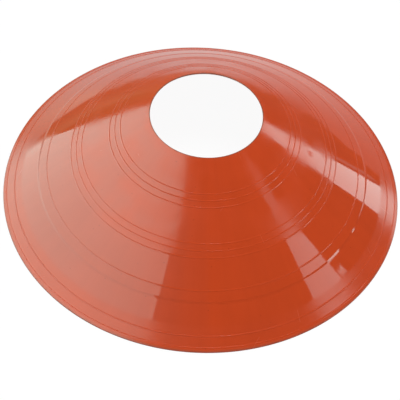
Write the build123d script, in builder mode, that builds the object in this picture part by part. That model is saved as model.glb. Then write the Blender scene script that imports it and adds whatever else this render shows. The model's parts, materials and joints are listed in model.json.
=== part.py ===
"""Sports marker disc: a low open cone of soft plastic, moulded in one piece.

Millimetres. +Z is up. The origin is the middle of the circle that the rim stands on.

The disc is one thin wall turned about Z. A slightly domed cone runs from the centre hole down to
the stacking band. It drops over the band's small riser to a skirt that goes on to the ground and ends
in a narrow lip with a flat foot. Fine raised ring lines run round the outside.
"""

import os
from math import asin, atan2, cos, hypot, sin, tan

from build123d import *

# Driving dimensions
rim_diameter = 190.0  # across the lip
hole_diameter = 52.0  # centre hole, for a carrying post or strap
overall_height = 55.0  # ground to the top of the hole's edge
wall = 1.1  # plastic thickness, square to the cone
edge_rounding = 0.25  # upper edge of the hole

# Dome: the cone swells a little, so that it falls more steeply the further out it is
dome_rise = 1.65  # of its middle corner above the straight line from the hole's edge to the band's edge
dome_share = 0.95  # of the wall each side of the middle corner that its rounding takes up

# Stacking band: a ring near the foot, with a small riser below it, that the next disc of a stack sits on
band_inset = 21.1  # from the rim in to the ring line at the band's upper edge
band_width = 3.7
band_height = 15.3  # ground to the band's lower edge
riser_width = 0.7
riser_drop = 0.83  # fall of the riser below the band
riser_blend = 7.0  # hollow rounding where the riser runs into the skirt
riser_rounding = 0.4  # lower edge of the band

# Foot: the ring line at the skirt's end, and the lip that stands on the ground
foot_ring_inset = 5.6  # from the rim in to the ring line at the skirt's end
foot_ring_height = 4.9
lip_width = 1.6
lip_height = 1.65  # ground to the lip's inner edge
lip_thickness = 0.75  # at the rim
lip_rounding = 0.3
foot_width = 1.9  # flat ring that touches the ground

# Ring lines
line_width = 0.6
line_height = 0.1  # above the wall
foot_line_height = 0.125  # of the two lines below the band
line_pitch = 2.5  # in plan, within a group
lines_in_group = 3
upper_line_offset = 13.6  # from the hole's edge out to the upper group
lower_line_offset = 11.4  # from the band's upper edge in to the lower group

rim_radius = rim_diameter / 2
hole_radius = hole_diameter / 2

# Corners of the outside below the hole, as (radius, height)
band_radius = rim_radius - band_inset
band_edge = (band_radius + band_width, band_height)
dome_corner = ((hole_radius + band_edge[0]) / 2, (overall_height + band_edge[1]) / 2 + dome_rise)
riser_foot = (band_edge[0] + riser_width, band_edge[1] - riser_drop)
foot_ring = (rim_radius - foot_ring_inset, foot_ring_height)
lip_top = (rim_radius - lip_width, lip_height)
lip_edge = (rim_radius, lip_thickness)

# The cone rises from the dome's corner to touch the rounding of the hole's upper edge
edge_run = dome_corner[0] - hole_radius - edge_rounding
edge_rise = overall_height - edge_rounding - dome_corner[1]
cone_angle = atan2(edge_rise, edge_run) + asin(edge_rounding / hypot(edge_run, edge_rise))
hole_corner = (hole_radius, dome_corner[1] + tan(cone_angle) * (dome_corner[0] - hole_radius))

# The dome's rounding, and the middle of its circle
dome_run = dome_corner[0] - hole_radius
dome_reach = dome_share * dome_run / cos(cone_angle)
dome_turn = atan2(dome_corner[1] - band_edge[1], dome_run) - cone_angle
dome_rounding = dome_reach / tan(dome_turn / 2)
dome_middle = (
    dome_corner[0] - dome_reach * cos(cone_angle) - dome_rounding * sin(cone_angle),
    dome_corner[1] + dome_reach * sin(cone_angle) - dome_rounding * cos(cone_angle),
)

# The inside is the outside lowered straight down, the way a mould core draws out
wall_drop = wall / cos(cone_angle)


def lowered(corner):
    """The inside's corner under a corner of the outside."""
    return (corner[0], corner[1] - wall_drop)


def under_dome(radius, depth):
    """The point this far under the dome's outside, square to it, where the outside has this radius."""
    tilt = asin((radius - dome_middle[0]) / dome_rounding)
    reach = dome_rounding - depth
    return (dome_middle[0] + reach * sin(tilt), dome_middle[1] + reach * cos(tilt))


# Corners of the wall's section with the rounding at each, once round from the hole's upper edge
section = [
    (hole_corner, edge_rounding),
    (dome_corner, dome_rounding),
    (band_edge, riser_rounding),
    (riser_foot, riser_blend),
    (foot_ring, 0),
    (lip_top, 0),
    (lip_edge, lip_rounding),
    ((rim_radius, 0), 0),
    ((rim_radius - foot_width, 0), 0),
    (lowered(foot_ring), 0),
    (lowered(riser_foot), riser_blend),
    (lowered(band_edge), riser_rounding),
    (lowered(dome_corner), dome_rounding),
    (lowered(hole_corner), 0),
]

# A ring line is a round bead whose middle is sunk in the wall


def bead_radius(height):
    """Radius of the bead that is as wide as a line and stands this far proud."""
    return (line_width**2 / 4 + height**2) / (2 * height)


def corner_bead(corner, before):
    """Middle of the bead at a corner of the foot, square to the wall that comes from the corner before."""
    angle = atan2(before[1] - corner[1], corner[0] - before[0])
    depth = foot_bead - foot_line_height
    return (corner[0] - depth * sin(angle), corner[1] - depth * cos(angle))


wall_bead = bead_radius(line_height)
foot_bead = bead_radius(foot_line_height)
upper_radii = [
    hole_radius + upper_line_offset + number * line_pitch for number in range(lines_in_group)
]
lower_radii = [
    band_radius - lower_line_offset - number * line_pitch for number in range(lines_in_group)
]
wall_bead_middles = [
    under_dome(radius, wall_bead - line_height) for radius in upper_radii + lower_radii + [band_radius]
]
foot_bead_middles = [corner_bead(foot_ring, riser_foot), corner_bead(lip_top, foot_ring)]

# The disc: its section turned once round the upright axis
with BuildPart() as marker_disc:
    with BuildSketch(Plane.XZ):
        with BuildLine():
            FilletPolyline(
                [corner for corner, rounding in section],
                radius=[rounding for corner, rounding in section],
                close=True,
            )
        make_face()
        with Locations(*wall_bead_middles):
            Circle(wall_bead)
        with Locations(*foot_bead_middles):
            Circle(foot_bead)
    revolve(axis=Axis.Z)

os.makedirs("parts", exist_ok=True)
marker_disc.part.label = "marker_disc"
export_step(marker_disc.part, "parts/marker_disc.step")
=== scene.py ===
import json
from math import pi, radians

import bpy
import numpy as np
from mathutils import Matrix, Vector


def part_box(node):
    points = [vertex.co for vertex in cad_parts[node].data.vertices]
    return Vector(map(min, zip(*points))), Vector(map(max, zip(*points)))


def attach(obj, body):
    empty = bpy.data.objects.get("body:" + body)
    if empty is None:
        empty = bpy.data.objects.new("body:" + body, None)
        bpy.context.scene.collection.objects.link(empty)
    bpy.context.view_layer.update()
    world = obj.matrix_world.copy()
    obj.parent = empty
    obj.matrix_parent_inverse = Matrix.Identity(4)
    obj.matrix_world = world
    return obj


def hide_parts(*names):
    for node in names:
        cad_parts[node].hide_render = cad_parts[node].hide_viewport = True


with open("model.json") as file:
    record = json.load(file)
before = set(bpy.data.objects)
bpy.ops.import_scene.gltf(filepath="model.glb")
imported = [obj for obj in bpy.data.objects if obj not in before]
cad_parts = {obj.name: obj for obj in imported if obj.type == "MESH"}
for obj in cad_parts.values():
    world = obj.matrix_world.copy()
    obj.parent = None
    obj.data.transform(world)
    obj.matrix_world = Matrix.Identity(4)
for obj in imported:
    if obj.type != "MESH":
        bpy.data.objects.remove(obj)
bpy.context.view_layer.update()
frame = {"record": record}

MM = 0.001

# Sizes of the disc that the frame gives
disc_low, disc_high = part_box("marker_disc")
rim_radius = min(-disc_low.x, -disc_low.y, disc_high.x, disc_high.y)
disc_height = disc_high.z
mounts = {mount["name"]: mount for mount in frame["record"]["mounts"]}
hole_radius = mounts["post_hole"]["dims"]["r_mm"] * MM

# Wall, dome, band, foot and ring lines of the disc, as offsets from those sizes
wall = 1.1 * MM
hole_rounding = 0.25 * MM
trim_width = 1.2 * MM
trim_height = 0.5 * MM
corner_rounding = 0.12 * MM
dome_rise = 1.65 * MM
dome_share = 0.95
band_inset = 21.1 * MM
band_width = 3.7 * MM
band_height = 15.3 * MM
riser_width = 0.7 * MM
riser_drop = 0.83 * MM
riser_rounding = 0.4 * MM
riser_blend = 7.0 * MM
foot_ring_inset = 5.6 * MM
foot_ring_height = 4.9 * MM
lip_width = 1.6 * MM
lip_height = 1.65 * MM
lip_thickness = 0.75 * MM
lip_rounding = 0.3 * MM
foot_width = 1.9 * MM
line_width = 0.6 * MM
line_height = 0.1 * MM
foot_line_height = 0.125 * MM
line_pitch = 2.5 * MM
lines_in_group = 3
upper_line_offset = 13.6 * MM
lower_line_offset = 11.4 * MM

# What moulding leaves on the wall: a slight roll at the hole, waviness, and dimples on the upper wall
roll_depth = 0.09 * MM
roll_reach = 9.0 * MM
wave_height = 0.010 * MM
wave_length = 17.0 * MM
wave_hole_fade = 8.0 * MM
wave_foot_inset = 3.0 * MM
wave_foot_fade = 9.0 * MM
dimple_height = 0.020 * MM
dimple_length = 11.0 * MM
dimples_round = 27
dimple_inset = 30.0 * MM
dimple_fade = 6.0 * MM

# How finely the disc, the panels and the floor are cut into faces
angle_steps = 360
arc_steps = 4
outline_steps = 400
line_steps = 9
line_margin = 0.75
wall_step = 1.6 * MM
inside_step = 4 * wall_step
guard_step = 0.12 * MM
closest_step = 0.03 * MM
panel_steps = 48
floor_steps = 221

# The photograph's camera
image_width = 400
focal_pixels = 1856.8
camera_elevation = radians(50.605)
camera_roll = radians(3.999)
camera_distance = 901.55 * MM
camera_target = Vector((-0.191, 0.0, -7.195)) * MM


def link_object(name, mesh, *materials):
    """Puts a finished mesh into the scene as an object at the origin."""
    for material in materials:
        mesh.materials.append(material)
    made = bpy.data.objects.new(name, mesh)
    bpy.context.scene.collection.objects.link(made)
    return made


def grid_mesh(name, points, wrap_rows=False, wrap_columns=False):
    """Four-sided faces between the neighbours of a grid of points.

    A wrapped direction joins its last line to its first.
    """
    rows, columns = points.shape[:2]
    numbers = np.arange(rows * columns).reshape(rows, columns)
    if wrap_rows:
        numbers = np.concatenate([numbers, numbers[:1]], axis=0)
    if wrap_columns:
        numbers = np.concatenate([numbers, numbers[:, :1]], axis=1)
    corners = [numbers[:-1, :-1], numbers[1:, :-1], numbers[1:, 1:], numbers[:-1, 1:]]
    faces = np.stack(corners, axis=-1).reshape(-1, 4)
    mesh = bpy.data.meshes.new(name)
    mesh.vertices.add(rows * columns)
    mesh.vertices.foreach_set("co", points.reshape(-1).astype(np.float32))
    mesh.loops.add(faces.size)
    mesh.loops.foreach_set("vertex_index", faces.reshape(-1).astype(np.int32))
    mesh.polygons.add(len(faces))
    mesh.polygons.foreach_set("loop_start", np.arange(0, faces.size, 4, dtype=np.int32))
    mesh.polygons.foreach_set("use_smooth", np.ones(len(faces), dtype=bool))
    mesh.update(calc_edges=True)
    return mesh


def point_light(mesh, light):
    """Stores the light, as red, green and blue, that each point of a studio mesh shows."""
    shown = np.concatenate([light, np.ones_like(light[..., :1])], axis=-1)
    attribute = mesh.attributes.new("light", "FLOAT_COLOR", "POINT")
    attribute.data.foreach_set("color", shown.astype(np.float32).reshape(-1))


def smooth_step(value):
    """Eases from 0 to 1 as the value goes from 0 to 1."""
    value = np.clip(value, 0, 1)
    return value * value * (3 - 2 * value)


def mixed(share, first, second):
    """Colours part of the way from the first to the second."""
    share = np.asarray(share)[..., None]
    return (1 - share) * np.array(first) + share * np.array(second)


def add_node(tree, kind, inputs=None, **settings):
    """Adds a node, sets its properties, and gives each named or numbered input a value or a link."""
    node = tree.nodes.new(kind)
    for name, value in settings.items():
        setattr(node, name, value)
    for key, value in (inputs or {}).items():
        if isinstance(value, bpy.types.NodeSocket):
            tree.links.new(value, node.inputs[key])
        else:
            node.inputs[key].default_value = value
    return node


def math_node(tree, operation, first, second=0.0, third=0.0):
    """The result of one sum on numbers or links."""
    node = add_node(tree, "ShaderNodeMath", {0: first, 1: second, 2: third}, operation=operation)
    return node.outputs[0]


def ease_node(tree, value, start, end, low=0.0, high=1.0):
    """Eases from low to high as the value goes from start to end."""
    node = add_node(tree, "ShaderNodeMapRange", {
        "Value": value, "From Min": start, "From Max": end, "To Min": low, "To Max": high,
    }, interpolation_type="SMOOTHSTEP")
    return node.outputs[0]


def noise_node(tree, vector, scale, detail=2.0, roughness=0.5):
    """Cloudy noise around one half."""
    node = add_node(tree, "ShaderNodeTexNoise", {
        "Vector": vector, "Scale": scale, "Detail": detail, "Roughness": roughness,
    })
    return node.outputs[0]


def mix_colors(tree, share, first, second):
    """The colour part of the way from the first to the second."""
    node = add_node(tree, "ShaderNodeMix", {0: share, 6: first, 7: second}, data_type="RGBA")
    return node.outputs[2]


def new_material(name):
    """An empty node material and its tree."""
    material = bpy.data.materials.new(name)
    material.use_nodes = True
    material.node_tree.nodes.clear()
    return material, material.node_tree


def new_group(name, inputs, outputs):
    """An empty node group with its sockets, and its input and output nodes."""
    group = bpy.data.node_groups.new(name, "ShaderNodeTree")
    for socket, kind in inputs:
        group.interface.new_socket(socket, in_out="INPUT", socket_type=kind)
    for socket, kind in outputs:
        group.interface.new_socket(socket, in_out="OUTPUT", socket_type=kind)
    return group, add_node(group, "NodeGroupInput"), add_node(group, "NodeGroupOutput")


# Section of the disc

def rounded_outline(corners, roundings):
    """Points once round a closed outline: at each corner an arc that touches both sides.

    The arc's middle lies on the corner's bisector, one radius over the sine of the half angle away,
    and its points swing about that middle from the side before to the side after.
    """
    before = np.roll(corners, 1, axis=0) - corners
    after = np.roll(corners, -1, axis=0) - corners
    before /= np.linalg.norm(before, axis=1, keepdims=True)
    after /= np.linalg.norm(after, axis=1, keepdims=True)
    half_angle = np.arccos(np.clip((before * after).sum(axis=1), -1, 1)) / 2
    inward = before + after
    inward /= np.linalg.norm(inward, axis=1, keepdims=True)
    across = after - before
    across /= np.linalg.norm(across, axis=1, keepdims=True)
    middle = corners + inward * (roundings / np.sin(half_angle))[:, None]
    swing = np.linspace(-0.5, 0.5, outline_steps + 1)[None, :] * (pi - 2 * half_angle)[:, None]
    reach = roundings[:, None, None]
    points = middle[:, None, :] - reach * (
        np.cos(swing)[..., None] * inward[:, None, :] - np.sin(swing)[..., None] * across[:, None, :]
    )
    return points.reshape(-1, 2)


def disc_section():
    """Points once round the wall's section as (radius, height), their normals, and which are inside.

    The outside runs over the dome, the band, the riser, the skirt and the lip. The inside is the same
    corners lowered by the wall, with the underside at the hole trimmed to a thin edge.
    """
    band_radius = rim_radius - band_inset
    band_edge = np.array([band_radius + band_width, band_height])
    hole_edge = np.array([hole_radius, disc_height])
    dome_corner = (hole_edge + band_edge) / 2 + (0, dome_rise)
    riser_foot = band_edge + (riser_width, -riser_drop)
    foot_ring = np.array([rim_radius - foot_ring_inset, foot_ring_height])
    lip_top = np.array([rim_radius - lip_width, lip_height])
    edge_run, edge_rise = (hole_edge - dome_corner) * (-1, 1) - hole_rounding
    cone_angle = np.arctan2(edge_rise, edge_run)
    cone_angle = cone_angle + np.arcsin(hole_rounding / np.hypot(edge_run, edge_rise))
    dome_run = dome_corner[0] - hole_radius
    hole_corner = dome_corner + dome_run * np.array([-1, np.tan(cone_angle)])
    dome_turn = np.arctan2(dome_corner[1] - band_edge[1], dome_run) - cone_angle
    dome_rounding = dome_share * dome_run / np.cos(cone_angle) / np.tan(dome_turn / 2)
    drop = np.array([0, wall / np.cos(cone_angle)])
    outside = [
        (hole_corner, hole_rounding),
        (dome_corner, dome_rounding),
        (band_edge, riser_rounding),
        (riser_foot, riser_blend),
        (foot_ring, corner_rounding),
        (lip_top, corner_rounding),
        ((rim_radius, lip_thickness), lip_rounding),
    ]
    foot = [
        ((rim_radius, 0), corner_rounding),
        ((rim_radius - foot_width, 0), corner_rounding),
    ]
    inside = [
        (foot_ring - drop, corner_rounding),
        (riser_foot - drop, riser_blend),
        (band_edge - drop, riser_rounding),
        (dome_corner - drop, dome_rounding),
        (hole_corner - drop + trim_width * np.array([1, -np.tan(cone_angle)]), corner_rounding),
        (hole_corner - (0, trim_height), corner_rounding),
    ]
    section = outside + foot + inside
    corners = np.array([corner for corner, rounding in section])
    outline = rounded_outline(corners, np.array([rounding for corner, rounding in section]))

    # Stations along the outline: arcs with a guard each side, long runs, and a close set across each line
    closed = np.concatenate([outline, outline[:1]])
    travel = np.concatenate([[0], np.cumsum(np.linalg.norm(np.diff(closed, axis=0), axis=1))])
    arc_points = outline_steps + 1
    arc_travel = travel[:-1].reshape(len(section), arc_points)
    outside_end = len(outside) * arc_points
    number = np.arange(lines_in_group)
    upper_lines = hole_radius + upper_line_offset + number * line_pitch
    lower_lines = band_radius - lower_line_offset - number * line_pitch
    line_radii = np.concatenate([upper_lines, lower_lines, [band_radius, foot_ring[0], lip_top[0]]])
    line_heights = np.where(line_radii > band_radius + band_width, foot_line_height, line_height)
    line_at = np.interp(line_radii, closed[:outside_end, 0], travel[:outside_end])
    across = np.linspace(-line_margin, line_margin, line_steps) * line_width
    stations = np.concatenate([
        arc_travel[:, :: outline_steps // arc_steps].ravel(),
        arc_travel[:, 0] - guard_step,
        arc_travel[:, -1] + guard_step,
        (line_at[:, None] + across).ravel(),
        np.arange(0, travel[outside_end], wall_step),
        np.arange(travel[outside_end], travel[-1], inside_step),
    ])
    stations = np.unique(stations[(stations >= 0) & (stations < travel[-1] - closest_step)].round(7))
    stations = stations[np.concatenate([[True], np.diff(stations) > closest_step])]
    points = np.stack([np.interp(stations, travel, closed[:, axis]) for axis in (0, 1)], axis=1)
    tangent = np.stack([np.gradient(points[:, axis], stations) for axis in (0, 1)], axis=1)
    tangent /= np.linalg.norm(tangent, axis=1, keepdims=True)
    outward = np.stack([-tangent[:, 1], tangent[:, 0]], axis=1)

    # Each line is a round bead that stands out along the outside's normal
    bead = (line_width**2 / 4 + line_heights**2) / (2 * line_heights)
    offset = stations[:, None] - line_at[None, :]
    proud = np.sqrt(np.maximum(bead**2 - offset**2, 0)) - (bead - line_heights)
    proud = np.maximum(proud, 0).max(axis=1)
    roll = np.clip(1 - (points[:, 0] - hole_radius) / roll_reach, 0, 1)
    points += proud[:, None] * outward
    points[:, 1] -= roll_depth * roll**2
    is_inside = (stations > travel[outside_end + arc_points]) & (stations < arc_travel[-1, -1])
    return points, outward, is_inside


def marker_disc():
    """The disc: its section swept once round the upright axis, at radius times cosine and sine.

    A wave of a few beats round the disc and along the wall moves each side of the wall along its
    normal; it dies out before the hole and before the foot, so the edges stay true. Dimples are a
    product of two quicker waves, one round the disc and one along the wall, that die out at the lower
    ring lines and towards the back.
    """
    section, outward, inside = disc_section()
    angle = np.arange(angle_steps) * (2 * pi / angle_steps)
    radius, height = section[:, :1], section[:, 1:]

    # Every wave has whole beats round the disc, so that it meets its own start
    beat = 2 * pi * radius / wave_length
    wave = np.sin(beat + 1.1 * np.sin(3 * angle)) * np.cos(5 * angle + 0.6)
    wave = wave + 0.8 * np.sin(0.7 * beat + 0.9) * np.sin(8 * angle + 1.7)
    room = smooth_step((radius - hole_radius) / wave_hole_fade)
    room = room * smooth_step((rim_radius - wave_foot_inset - radius) / wave_foot_fade)
    dimple = np.sin(dimples_round * angle + 2.0 * np.sin(beat))
    dimple = dimple * np.sin(2 * pi * radius / dimple_length + 3.0 * angle)
    upper = smooth_step((rim_radius - dimple_inset - radius) / dimple_fade) * (1 - np.sin(angle)) / 2
    wave = (wave_height * wave + dimple_height * upper * dimple) * room
    radius = radius + wave * outward[:, :1]
    height = height + wave * outward[:, 1:]
    points = np.stack([radius * np.cos(angle), radius * np.sin(angle), height], axis=-1)
    mesh = grid_mesh("marker_disc_shell", points, wrap_rows=True, wrap_columns=True)
    made = link_object("marker_disc_shell", mesh, glossy_outside(), satin_inside())
    face_inside = np.repeat(inside & np.roll(inside, -1), angle_steps)
    mesh.polygons.foreach_set("material_index", face_inside.astype(np.int32))
    return made


# Finishes of the disc, with painted edge shade and painted light on the hole's wall

base_color = (0.52, 0.054, 0.0105, 1.0)
# Dark brown painted into the rim's edge and the hole's top edge as painted edge shade
painted_edge_shade_color = (0.27, 0.07, 0.035, 1.0)
# Pale orange painted onto the hole's wall as painted light, standing in for light through the thin
# plastic
painted_wall_light_color = (0.95, 0.40, 0.16, 1.0)

# Zones of painted edge shade and of painted light on the hole's wall, in from the rim, out from the
# hole's edge or down from the top
rim_shade_start = 1.1 * MM
rim_shade_full = 0.3 * MM
hole_shade_start = 0.8 * MM
hole_shade_full = 0.2 * MM
edge_shade_depth = 0.25 * MM
wall_light_depth = 0.40 * MM
wall_light_start = 0.08 * MM
wall_light_full = 0.03 * MM

# Duller zones, in from the rim or out from the hole's edge, and one small scuff on the upper wall
dull_foot_start = 9.8 * MM
dull_foot_full = 8.4 * MM
dull_upper_start = 31.0 * MM
dull_upper_full = 34.0 * MM
dull_hole_reach = 7.0 * MM
scuff_place = (49.5 * MM, -4.5 * MM, 37.8 * MM)
scuff_reach = 2.4 * MM
scuff_core = 0.8 * MM

# How much clouds, flow lines and specks change the tone, and the share of the cells that have no speck
cloud_change = 0.16
flow_change = 0.12
speck_change = 0.22
empty_cells = 0.9

# How much each mark adds to the roughness, and how deep scratches and grain are as shares of the relief
smudge_dulling = 0.05
zone_dulling = 0.16
scratch_dulling = 0.15
scuff_dulling = 0.22
scratch_depth = 0.4
grain_depth = 0.1


def polar_place(tree, position):
    """The distance from the upright axis, and a point of the unit circle about it at that height."""
    split = add_node(tree, "ShaderNodeSeparateXYZ", {0: position})
    flat = add_node(tree, "ShaderNodeCombineXYZ", {0: split.outputs["X"], 1: split.outputs["Y"]})
    length = add_node(tree, "ShaderNodeVectorMath", {0: flat.outputs[0]}, operation="LENGTH")
    reach = length.outputs["Value"]
    way = add_node(tree, "ShaderNodeVectorMath", {0: flat.outputs[0]}, operation="NORMALIZE")
    way = add_node(tree, "ShaderNodeSeparateXYZ", {0: way.outputs[0]})
    place = add_node(tree, "ShaderNodeCombineXYZ", {0: way.outputs["X"], 1: way.outputs["Y"], 2: reach})
    return reach, place.outputs[0]


def plastic_tone_and_painted_light_group():
    """Colour of the moulded plastic, with painted edge shade and painted light on the hole's wall.

    Clouds and flow lines scale its tone, and rare specks darken it. The rim's edge and the hole's top
    edge are mixed, in patches, towards a dark colour as painted edge shade, and the wall of the hole
    towards a pale colour as painted light.
    """
    group, given, result = new_group(
        "plastic_tone_and_painted_light",
        [("Position", "NodeSocketVector"), ("Plastic", "NodeSocketColor"), ("EdgeShade", "NodeSocketColor"),
         ("WallLight", "NodeSocketColor")],
        [("Color", "NodeSocketColor")],
    )
    position = given.outputs["Position"]
    reach, place = polar_place(group, position)
    clouds = noise_node(group, position, scale=45.0, detail=3.0)
    flow = noise_node(group, place, scale=14.0, detail=4.0, roughness=0.6)
    darkest = 1 - (cloud_change + flow_change) / 2
    tone = math_node(group, "MULTIPLY_ADD", clouds, cloud_change, darkest)
    tone = math_node(group, "MULTIPLY_ADD", flow, flow_change, tone)
    cells = add_node(group, "ShaderNodeTexVoronoi", {"Vector": position, "Scale": 420.0})
    chance = add_node(group, "ShaderNodeSeparateColor", {0: cells.outputs["Color"]})
    rare = math_node(group, "GREATER_THAN", chance.outputs[0], empty_cells)
    small = ease_node(group, cells.outputs["Distance"], start=0.16, end=0.08)
    speck = math_node(group, "MULTIPLY", rare, small)
    tone = math_node(group, "MULTIPLY_ADD", speck, -speck_change, tone)
    toned = add_node(group, "ShaderNodeVectorMath", {
        0: given.outputs["Plastic"], "Scale": tone,
    }, operation="SCALE")
    height = add_node(group, "ShaderNodeSeparateXYZ", {0: position}).outputs["Z"]
    # Painted edge shade: the rim's edge and the hole's top edge are darkened, in patches
    rim_shade = ease_node(group, reach, rim_radius - rim_shade_start, rim_radius - rim_shade_full, high=0.5)
    hole = ease_node(group, reach, hole_radius + hole_shade_start, hole_radius + hole_shade_full)
    below = ease_node(group, height, disc_height - edge_shade_depth, disc_height - wall_light_depth)
    hole_edge = math_node(group, "MULTIPLY", hole, math_node(group, "SUBTRACT", 1.0, below))
    edge_shade = math_node(group, "MAXIMUM", rim_shade, hole_edge)
    patches = noise_node(group, position, scale=160.0)
    patches = ease_node(group, patches, start=0.25, end=0.6, low=0.5)
    edge_shade = math_node(group, "MULTIPLY", edge_shade, patches)
    color = mix_colors(group, edge_shade, toned.outputs[0], given.outputs["EdgeShade"])
    # Painted light: below the top edge, the wall of the hole is mixed towards the pale colour
    wall_light = ease_node(group, reach, hole_radius + wall_light_start, hole_radius + wall_light_full, high=0.7)
    color = mix_colors(group, math_node(group, "MULTIPLY", wall_light, below), color, given.outputs["WallLight"])
    group.links.new(color, result.inputs["Color"])
    return group


def surface_marks_group():
    """Roughness and relief of the plastic: smudges, duller zones, scratches, a scuff and mould grain."""
    group, given, result = new_group(
        "surface_marks",
        [("Position", "NodeSocketVector"), ("Polish", "NodeSocketFloat"), ("Wear", "NodeSocketFloat")],
        [("Roughness", "NodeSocketFloat"), ("Height", "NodeSocketFloat")],
    )
    position = given.outputs["Position"]
    wear = given.outputs["Wear"]
    reach, place = polar_place(group, position)
    smudge = noise_node(group, position, scale=60.0, detail=4.0, roughness=0.65)
    smudge = ease_node(group, smudge, start=0.52, end=0.75)
    foot = ease_node(group, reach, rim_radius - dull_foot_start, rim_radius - dull_foot_full)
    upper = ease_node(group, reach, rim_radius - dull_upper_start, rim_radius - dull_upper_full)
    patchy = noise_node(group, position, scale=85.0, detail=3.0)
    patchy = ease_node(group, patchy, start=0.36, end=0.64, low=0.25, high=0.95)
    upper = math_node(group, "MULTIPLY", upper, patchy)
    hole = ease_node(group, reach, hole_radius + dull_hole_reach, hole_radius)
    handled = math_node(group, "MAXIMUM", foot, math_node(group, "MAXIMUM", upper, hole))
    lines = 0.0
    for turn, scale in ((0.5, 48.0), (1.7, 61.0), (2.6, 39.0)):
        turned = add_node(group, "ShaderNodeMapping", {"Vector": position, "Rotation": (0.0, 0.0, turn)})
        bands = add_node(group, "ShaderNodeTexWave", {
            "Vector": turned.outputs[0], "Scale": scale,
            "Distortion": 5.0, "Detail": 2.0, "Detail Scale": 0.6,
        })
        fine = ease_node(group, bands.outputs["Fac"], start=0.997, end=1.0)
        short = noise_node(group, turned.outputs[0], scale=55.0)
        short = ease_node(group, short, start=0.60, end=0.72)
        lines = math_node(group, "MAXIMUM", lines, math_node(group, "MULTIPLY", fine, short))
    lines = math_node(group, "MULTIPLY", lines, wear)
    smudged = math_node(group, "MULTIPLY", wear, smudge_dulling)
    roughness = math_node(group, "MULTIPLY_ADD", smudge, smudged, given.outputs["Polish"])
    dulled = math_node(group, "MULTIPLY", wear, zone_dulling)
    roughness = math_node(group, "MULTIPLY_ADD", handled, dulled, roughness)
    roughness = math_node(group, "MULTIPLY_ADD", lines, scratch_dulling, roughness)
    away = add_node(group, "ShaderNodeVectorMath", {0: position, 1: scuff_place}, operation="DISTANCE")
    scuff = ease_node(group, away.outputs["Value"], scuff_reach, scuff_core, high=scuff_dulling)
    roughness = math_node(group, "ADD", roughness, scuff)
    grain = math_node(group, "MULTIPLY", noise_node(group, position, scale=900.0), grain_depth)
    height = math_node(group, "MULTIPLY_ADD", lines, -scratch_depth, grain)
    group.links.new(roughness, result.inputs["Roughness"])
    group.links.new(height, result.inputs["Height"])
    return group


plastic_tone_and_painted_light = plastic_tone_and_painted_light_group()
surface_marks = surface_marks_group()


def plastic_material(name, polish, wear, relief):
    """The orange plastic at one polish, with its tone, painted edge shade, painted light and marks taken
    from the shared groups.
    """
    material, tree = new_material(name)
    position = add_node(tree, "ShaderNodeTexCoord").outputs["Object"]
    tone = add_node(tree, "ShaderNodeGroup", node_tree=plastic_tone_and_painted_light)
    marks = add_node(tree, "ShaderNodeGroup", node_tree=surface_marks)
    for part in (tone, marks):
        tree.links.new(position, part.inputs["Position"])
    tone.inputs["Plastic"].default_value = base_color
    tone.inputs["EdgeShade"].default_value = painted_edge_shade_color
    tone.inputs["WallLight"].default_value = painted_wall_light_color
    marks.inputs["Polish"].default_value = polish
    marks.inputs["Wear"].default_value = wear
    bump = add_node(tree, "ShaderNodeBump", {
        "Height": marks.outputs["Height"], "Strength": 1.0, "Distance": relief,
    })
    shader = add_node(tree, "ShaderNodeBsdfPrincipled", {
        "Base Color": tone.outputs["Color"],
        "Roughness": marks.outputs["Roughness"],
        "IOR": 1.5,
        "Normal": bump.outputs[0],
    })
    add_node(tree, "ShaderNodeOutputMaterial", {"Surface": shader.outputs[0]})
    return material


def glossy_outside():
    """Polished orange plastic."""
    return plastic_material("glossy_orange_outside", polish=0.045, wear=1.0, relief=0.01 * MM)


def satin_inside():
    """The same plastic as it leaves the mould's core, less polished."""
    return plastic_material("satin_orange_inside", polish=0.36, wear=0.4, relief=0.03 * MM)


# Studio

def light_material():
    """Light as each point of the mesh stores it."""
    material, tree = new_material("panel_light")
    shown = add_node(tree, "ShaderNodeAttribute", attribute_name="light")
    light = add_node(tree, "ShaderNodeEmission", {"Color": shown.outputs["Color"]})
    add_node(tree, "ShaderNodeOutputMaterial", {"Surface": light.outputs[0]})
    return material


def light_panel(name, corners, glow, tint, material):
    """Studio panel: points mixed from four corners, across and along, with a glow at each point."""
    shares = np.linspace(0, 1, panel_steps)
    across, along = np.meshgrid(shares, shares, indexing="ij")
    first, second, third, fourth = np.array(corners, dtype=float)
    points = (
        ((1 - across) * (1 - along))[..., None] * first
        + (across * (1 - along))[..., None] * second
        + (across * along)[..., None] * third
        + ((1 - across) * along)[..., None] * fourth
    )
    mesh = grid_mesh(name, points)
    azimuth = np.degrees(np.arctan2(points[..., 0], points[..., 1]))
    point_light(mesh, glow(across, along, azimuth)[..., None] * np.array(tint))
    panel = link_object(name, mesh, material)
    panel.visible_camera = False
    panel.visible_diffuse = False
    panel.visible_shadow = False


# Tints of the two sides' light
left_tint = (0.83, 1.0, 0.89)
right_tint = (0.83, 1.0, 0.97)

# A glow takes a point's shares across and along its panel, and its azimuth in degrees, back to right


def left_glow(across, along, azimuth):
    """Brightest at the disc's left, dimmer towards the back end and the front end."""
    ways = [-155, -140, -107, -80, -62, -50, -42]
    return np.interp(azimuth, ways, [2.7, 3.35, 4.4, 4.7, 4.4, 3.8, 3.1])


def spill_glow(across, along, azimuth):
    """Dim light that dies away to the right."""
    return 0.2 + 0.5 * (1 - along) ** 2


def right_glow(across, along, azimuth):
    """Nearly even, with a thin dim line beyond a dark gap at its inner side."""
    bright = 1 - smooth_step((along - 0.85) / 0.02)
    line = smooth_step((along - 0.92) / 0.02) * smooth_step((0.45 - across) / 0.1)
    return 0.15 + (4.5 - 1.0 * across) * bright + 0.55 * line


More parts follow.
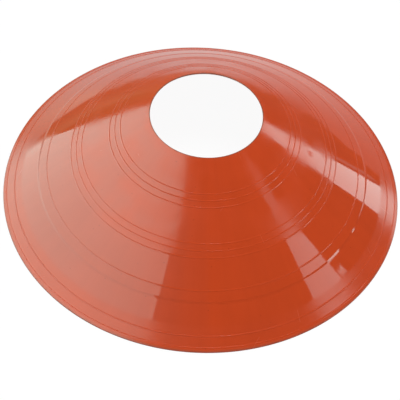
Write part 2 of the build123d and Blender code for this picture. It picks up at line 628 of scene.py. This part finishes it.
def front_glow(across, along, azimuth):
    """Bright in its lower part and dim above, brighter towards its far side."""
    return 1.25 + (1.3 + 0.6 * along) * smooth_step((0.64 - 0.08 * along - across) / 0.05)


def top_glow(across, along, azimuth):
    """Brighter along its top."""
    return 2.4 + 2.4 * smooth_step((across - 0.70) / 0.15)


def strong_glow(across, along, azimuth):
    """Even and strong."""
    return 6.0 + 0 * across


def light_panels():
    """The soft panels that the plastic mirrors; a panel's corners go up one side and down the other."""
    material = light_material()
    left = [(-0.818, 0.847, -0.06), (-0.76, 0.918, 0.34), (-0.235, -0.602, 0.896),
            (-0.687, -1.598, 0.0)]
    light_panel("left_panel", left, left_glow, left_tint, material)
    spill = [(-0.687, -1.598, 0.0), (-0.235, -0.602, 0.896), (0.10, -0.62, 0.90), (0.30, -1.70, 0.0)]
    light_panel("left_spill", spill, spill_glow, left_tint, material)
    right = [(0.90, 0.48, -0.03), (0.800, 0.408, 0.55), (0.466, 0.425, 0.27), (0.520, 0.432, -0.03)]
    light_panel("right_panel", right, right_glow, right_tint, material)
    front = [(0.806, -0.40, 0.345), (0.616, -0.156, 0.695), (0.804, -0.172, 0.835),
             (1.125, -0.085, 0.345)]
    light_panel("front_panel", front, front_glow, right_tint, material)
    low = [(0.60, -0.115, 0.08), (0.60, -0.115, 0.185), (0.60, -0.025, 0.175), (0.60, -0.025, 0.08)]
    light_panel("low_panel", low, strong_glow, right_tint, material)
    chip = [(0.60, -0.036, 0.231), (0.60, -0.042, 0.248), (0.60, -0.076, 0.262), (0.60, -0.078, 0.256)]
    light_panel("small_panel", chip, top_glow, right_tint, material)
    lamp = [(0.60, 0.102, 0.038), (0.60, 0.102, 0.098), (0.60, 0.126, 0.098), (0.60, 0.126, 0.038)]
    light_panel("small_lamp", lamp, strong_glow, right_tint, material)


# The overhead lamp
key_size = 1.55
key_strength = 11.2
key_place = (0.15, 0.0, 3.0)


def key_light():
    """Broad soft lamp, high overhead."""
    lamp = bpy.data.lights.new("overhead_key", "AREA")
    lamp.shape = "SQUARE"
    lamp.size = key_size
    lamp.energy = key_strength * pi * key_size**2
    key = bpy.data.objects.new("overhead_key", lamp)
    bpy.context.scene.collection.objects.link(key)
    key.location = key_place
    key.visible_glossy = False


def mirrored_light(x, y):
    """Light that the plastic mirrors from the floor.

    A bright sheet lies under and behind the disc, up to a back edge that slants away on the right and a
    right edge. Beyond it is the dim room. Further out the floor mirrors the left and right panels.
    """
    # The bright sheet's edges, and its light: redder towards the right, brighter at the far left
    back_edge = np.interp(x, [-0.16, -0.13, -0.09, -0.055, 0.0, 0.09, 0.26],
                          [0.085, 0.13, 0.146, 0.166, 0.146, 0.213, 0.25])
    right_edge = np.interp(y, [0.0, 0.086, 0.15, 0.19, 0.25], [0.12, 0.165, 0.21, 0.217, 0.255])
    sheet = 1 - smooth_step(np.maximum(y - back_edge, x - right_edge) / 0.02 + 0.5)
    sheet_light = mixed(smooth_step((x + 0.02) / 0.16), (0.82, 0.66, 0.63), (0.98, 0.45, 0.38))
    sheet_light = sheet_light + (np.clip(-0.04 - x, 0, 0.06) ** 2)[..., None] * np.array([140, 105, 52])

    # The dim room beyond it, lighter towards the left
    room_light = mixed(smooth_step((0.10 - x) / 0.22), (0.52, 0.17, 0.10), (0.77, 0.27, 0.14))
    room_light = room_light + np.clip(-0.11 - x, 0, 0.13)[..., None] * np.array([1.8, 2.9, 1.6])
    light = room_light + sheet[..., None] * (sheet_light - room_light)

    # The left and right panels, each beyond a slanting edge given by its normal and a point on it
    left = smooth_step((-0.756 * (x + 0.162) - 0.654 * (y - 0.106)) / 0.024 + 0.5) * (x < -0.10)
    left_level = np.interp(x, [-0.24, -0.20, -0.16, -0.12], [3.9, 3.6, 2.4, 1.3])
    light = light + left[..., None] * (left_level[..., None] * np.array(left_tint) - light)
    right = smooth_step((0.673 * (x - 0.276) - 0.740 * (y - 0.176)) / 0.012 + 0.5) * (x > 0.20)
    right_level = 2.2
    return light + right[..., None] * (right_level * np.array(right_tint) - light)


# Reach and depth of the near and far floor, their tone, and the share of their white that takes shadows
near_reach = 0.44
near_depth = 0.1 * MM
far_reach = 4.0
far_depth = 0.2 * MM
floor_tone = 0.6
shadow_share = 0.055


def floor_points(reach, steps, depth):
    """Points of a level square grid about the origin."""
    lines = np.linspace(-reach, reach, steps)
    x, y = np.meshgrid(lines, lines, indexing="ij")
    return np.stack([x, y, np.full_like(x, -depth)], axis=-1)


def pale_floor():
    """Pale floor, white for the camera but for a faint shadow.

    Near the disc it holds, at each point, the light that the plastic mirrors there.
    """
    points = floor_points(near_reach, floor_steps, near_depth)
    near = grid_mesh("near_floor", points)
    point_light(near, mirrored_light(points[..., 0], points[..., 1]))
    far = grid_mesh("far_floor", floor_points(far_reach, 2, far_depth))
    material, tree = new_material("pale_floor")
    path = add_node(tree, "ShaderNodeLightPath")
    seen = math_node(tree, "ADD", path.outputs["Is Camera Ray"], path.outputs["Is Transmission Ray"])
    glossy = path.outputs["Is Glossy Ray"]
    tone = math_node(tree, "MULTIPLY_ADD", seen, shadow_share - floor_tone, floor_tone)
    tone = math_node(tree, "MULTIPLY", tone, math_node(tree, "SUBTRACT", 1.0, glossy))
    color = add_node(tree, "ShaderNodeCombineColor", {0: tone, 1: tone, 2: tone})
    paper = add_node(tree, "ShaderNodeBsdfDiffuse", {"Color": color.outputs[0]})
    mirrored = add_node(tree, "ShaderNodeAttribute", attribute_name="light")
    plain_white = (1 - shadow_share, 1 - shadow_share, 1 - shadow_share, 1.0)
    glow = mix_colors(tree, glossy, plain_white, mirrored.outputs["Color"])
    white = add_node(tree, "ShaderNodeEmission", {
        "Color": glow, "Strength": math_node(tree, "ADD", seen, glossy),
    })
    both = add_node(tree, "ShaderNodeAddShader", {0: paper.outputs[0], 1: white.outputs[0]})
    add_node(tree, "ShaderNodeOutputMaterial", {"Surface": both.outputs[0]})
    link_object("near_floor", near, material)
    far_floor = link_object("far_floor", far, material)
    far_floor.visible_glossy = False


# Room light: what lights the disc, what the camera sees past the floor, what is mirrored on each side
fill_light = (0.25, 0.25, 0.25, 1.0)
backdrop_light = (0.98, 0.98, 0.98, 1.0)
right_room_light = (0.34, 0.15, 0.11, 1.0)
left_room_light = (0.85, 0.42, 0.18, 1.0)


def studio_world():
    """Dim even room light, pale where the camera looks past the floor and warm where it is mirrored."""
    world = bpy.data.worlds.new("studio")
    world.use_nodes = True
    tree = world.node_tree
    tree.nodes.clear()
    path = add_node(tree, "ShaderNodeLightPath")
    seen = math_node(tree, "ADD", path.outputs["Is Camera Ray"], path.outputs["Is Transmission Ray"])
    way = add_node(tree, "ShaderNodeTexCoord").outputs["Generated"]
    sideways = add_node(tree, "ShaderNodeSeparateXYZ", {0: way}).outputs["X"]
    left = ease_node(tree, sideways, start=-0.1, end=-0.4)
    room = mix_colors(tree, left, right_room_light, left_room_light)
    pale = mix_colors(tree, seen, fill_light, backdrop_light)
    shown = mix_colors(tree, path.outputs["Is Glossy Ray"], pale, room)
    backdrop = add_node(tree, "ShaderNodeBackground", {"Color": shown, "Strength": 1.0})
    add_node(tree, "ShaderNodeOutputWorld", {"Surface": backdrop.outputs[0]})
    bpy.context.scene.world = world


def photo_camera():
    """Camera on the photograph's line of sight: it leans down by the elevation, then rolls."""
    camera = bpy.data.cameras.new("photo_camera")
    camera.lens = focal_pixels / image_width * camera.sensor_width
    made = bpy.data.objects.new("photo_camera", camera)
    bpy.context.scene.collection.objects.link(made)
    turn = Matrix.Rotation(pi / 2 - camera_elevation, 4, "X") @ Matrix.Rotation(camera_roll, 4, "Z")
    back = turn @ Vector((0, 0, 1))
    made.matrix_world = Matrix.Translation(camera_target + camera_distance * back) @ turn
    bpy.context.scene.camera = made


shell = marker_disc()
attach(shell, "root")
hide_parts("marker_disc")

pale_floor()
light_panels()
key_light()
studio_world()
photo_camera()
bpy.context.scene.view_settings.view_transform = "Standard"
